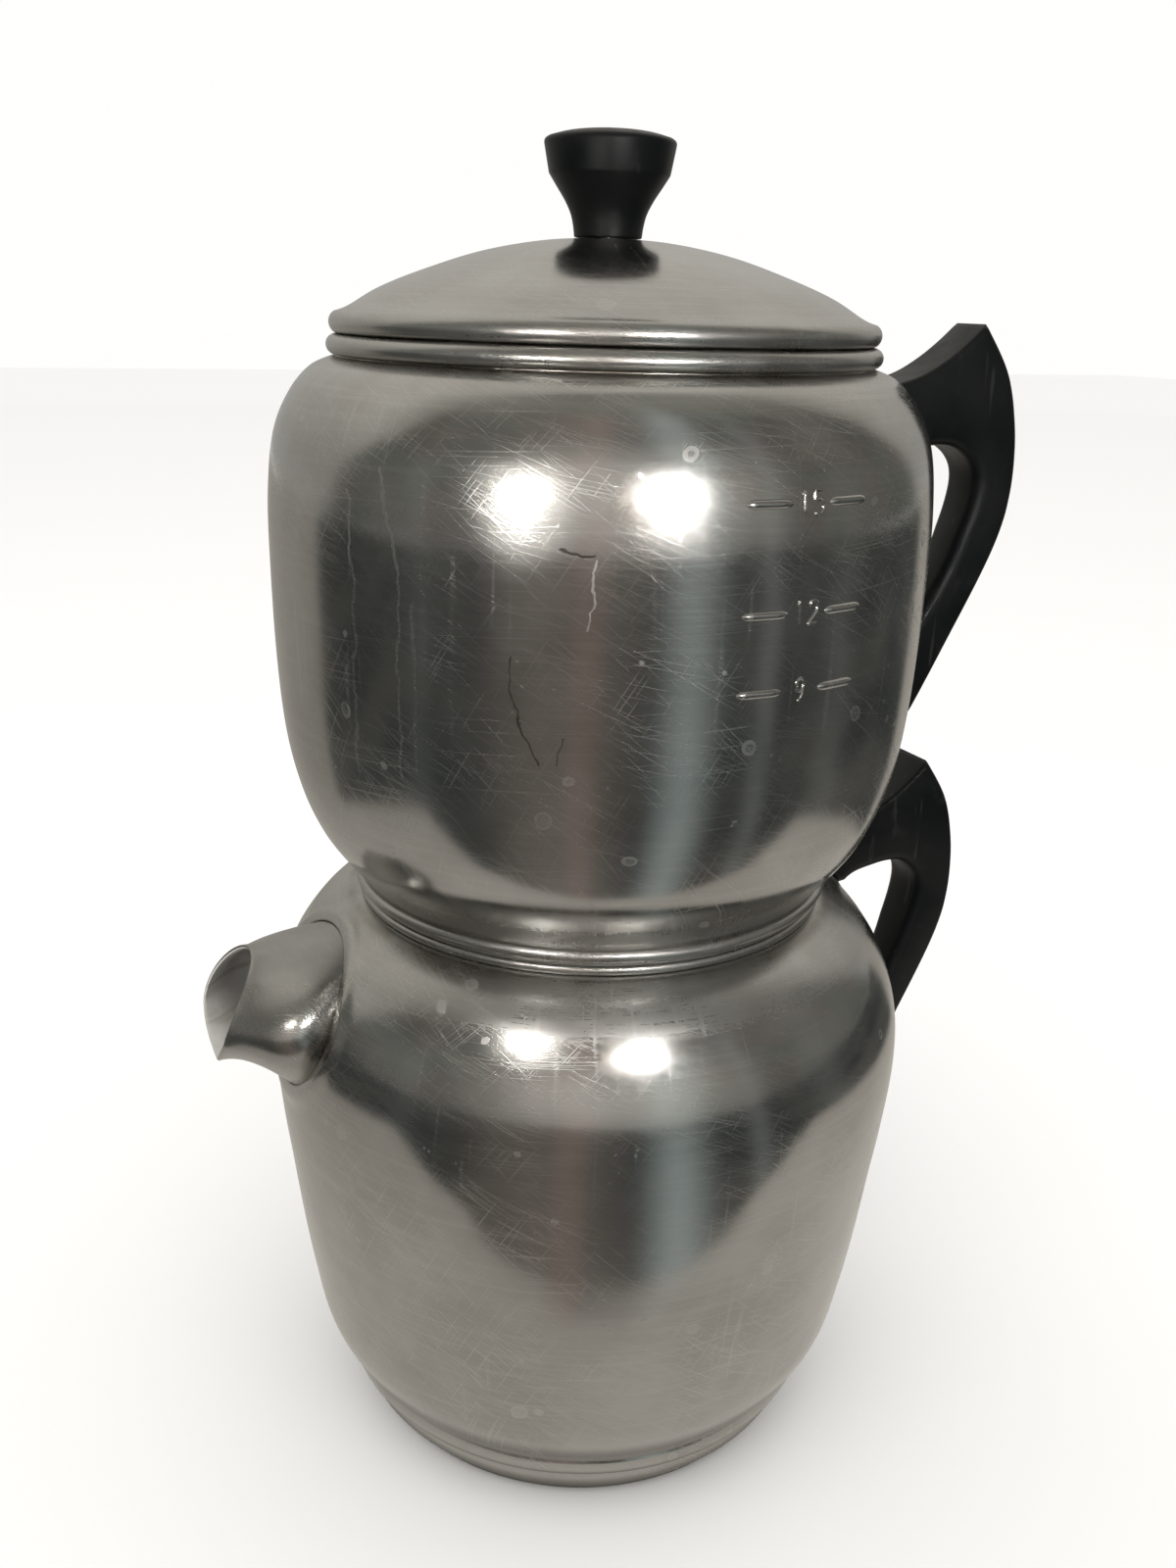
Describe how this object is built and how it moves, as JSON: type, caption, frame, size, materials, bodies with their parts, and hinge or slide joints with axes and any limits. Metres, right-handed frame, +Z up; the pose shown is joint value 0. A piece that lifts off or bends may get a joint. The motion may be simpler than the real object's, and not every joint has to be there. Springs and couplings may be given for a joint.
{
  "type": "drip coffee maker",
  "caption": "Stove-top drip coffee maker: bulbous server pot with a crimped spout, lift-out coffee basket, water container with its own handle, and domed lid.",
  "frame": {"origin": "centre of the server's flat bottom, where it rests", "axes": "+Z up; the spout points along -X and the server's handle along +X"},
  "size_m": [0.231, 0.1772, 0.3508],
  "materials": {
    "pot_aluminium": "polished and scuffed, with fine circular scratches and water spots",
    "strap_aluminium": "dull grey",
    "basket_aluminium": "dull, spun",
    "moulded_black": "moulded phenolic, worn to a low sheen",
    "insert_brass": "turned",
    "steel_fixings": "plated"
  },
  "bodies": {
    "server": {"server_body": "pot_aluminium", "spout": "pot_aluminium", "server_strap": "strap_aluminium", "server_handle": "moulded_black", "server_handle_screws": "steel_fixings", "server_handle_washers": "steel_fixings", "server_handle_inserts": "insert_brass"},
    "basket": {"coffee_basket": "basket_aluminium"},
    "spreader": {"water_spreader": "basket_aluminium"},
    "container": {"water_container": "pot_aluminium", "container_strap": "strap_aluminium", "container_handle": "moulded_black", "container_handle_screws": "steel_fixings", "container_handle_washers": "steel_fixings", "container_handle_inserts": "insert_brass"},
    "lid": {"lid": "pot_aluminium", "lid_collar": "pot_aluminium", "lid_knob": "moulded_black", "knob_insert": "insert_brass", "knob_screw": "steel_fixings", "knob_washer": "steel_fixings"}
  },
  "joints": [
    {"name": "basket_lift", "type": "slide", "parent": "server", "child": "basket", "axis": [0, 0, 1], "range_m": [0, 0.07]},
    {"name": "spreader_lift", "type": "slide", "parent": "basket", "child": "spreader", "axis": [0, 0, 1], "range_m": [0, 0.03]},
    {"name": "container_lift", "type": "slide", "parent": "spreader", "child": "container", "axis": [0, 0, 1], "range_m": [0, 0.05]},
    {"name": "lid_lift", "type": "slide", "parent": "container", "child": "lid", "axis": [0, 0, 1], "range_m": [0, 0.05]}
  ]
}
